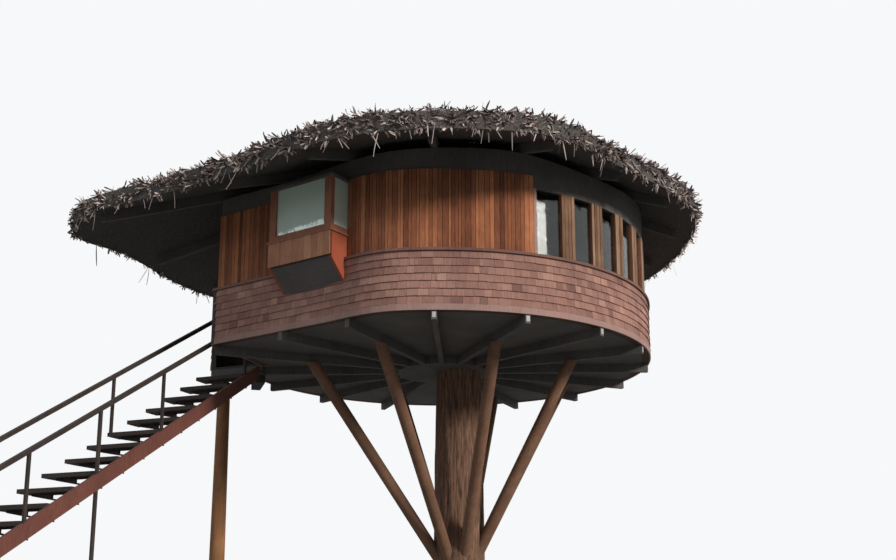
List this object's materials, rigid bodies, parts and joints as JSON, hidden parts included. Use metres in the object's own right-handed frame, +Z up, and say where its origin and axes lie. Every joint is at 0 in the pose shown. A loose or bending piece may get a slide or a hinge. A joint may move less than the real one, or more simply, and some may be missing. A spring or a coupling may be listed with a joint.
{
  "type": "tree house",
  "caption": "Round timber tree house with shingled walls, bay window and thatched roof, on a tree bole with fanned struts and a long open stair.",
  "frame": {"origin": "axis of the tree bole at ground level", "axes": "+Z up, +X to the right and +Y away from the viewer who sees the stair at the left; the stair comes down towards -X and -Y"},
  "size_m": [11.5824, 13.758, 10],
  "materials": {
    "bark": "stringy brown bark",
    "deck_board": "sawn boards",
    "frame_timber": "sawn timber, dark with shade and age",
    "glass": "clear window glass",
    "plank_wall": "vertical planks, orange brown stain",
    "rail_timber": "sawn rail, grey brown",
    "shingle_wall": "weathered wooden shingles, pinkish brown",
    "stringer_timber": "sawn plank, red brown",
    "strut_log": "peeled log, weathered",
    "thatch": "dry palm or reed thatch, grey brown",
    "tread_timber": "sawn timber, dark grey brown",
    "trim_timber": "planed trim, red brown"
  },
  "bodies": {
    "root": {"bay_front_panel": "plank_wall", "bay_glass": "glass", "bay_head": "trim_timber", "bay_posts": "trim_timber", "bay_sides": "plank_wall", "bay_sill": "trim_timber", "bay_underside": "plank_wall", "corner_board": "trim_timber", "door_jambs": "plank_wall", "door_lintel": "plank_wall", "floor_deck": "deck_board", "handrails": "rail_timber", "joist_hub": "frame_timber", "landing_beams": "frame_timber", "landing_deck": "deck_board", "landing_joists": "frame_timber", "landing_parapet": "shingle_wall", "log_post": "strut_log", "plank_wall_back_left": "plank_wall", "plank_wall_back_right": "plank_wall", "plank_wall_front": "plank_wall", "plank_wall_front_left": "plank_wall", "plank_wall_stair_side": "plank_wall", "radial_joists": "frame_timber", "rafter_ring": "frame_timber", "rafters": "frame_timber", "rail_posts": "rail_timber", "skirt_back_left": "shingle_wall", "skirt_back_right": "shingle_wall", "skirt_cap": "trim_timber", "skirt_front": "shingle_wall", "skirt_front_left": "shingle_wall", "skirt_right": "shingle_wall", "skirt_stair_side": "shingle_wall", "stair_pole": "strut_log", "stringer": "stringer_timber", "struts": "strut_log", "thatch_roof": "thatch", "tread_brackets": "tread_timber", "treads": "tread_timber", "tree_bole": "bark", "wall_plate": "frame_timber", "window_glass": "glass", "window_heads": "trim_timber", "window_posts": "trim_timber"}
  },
  "joints": []
}
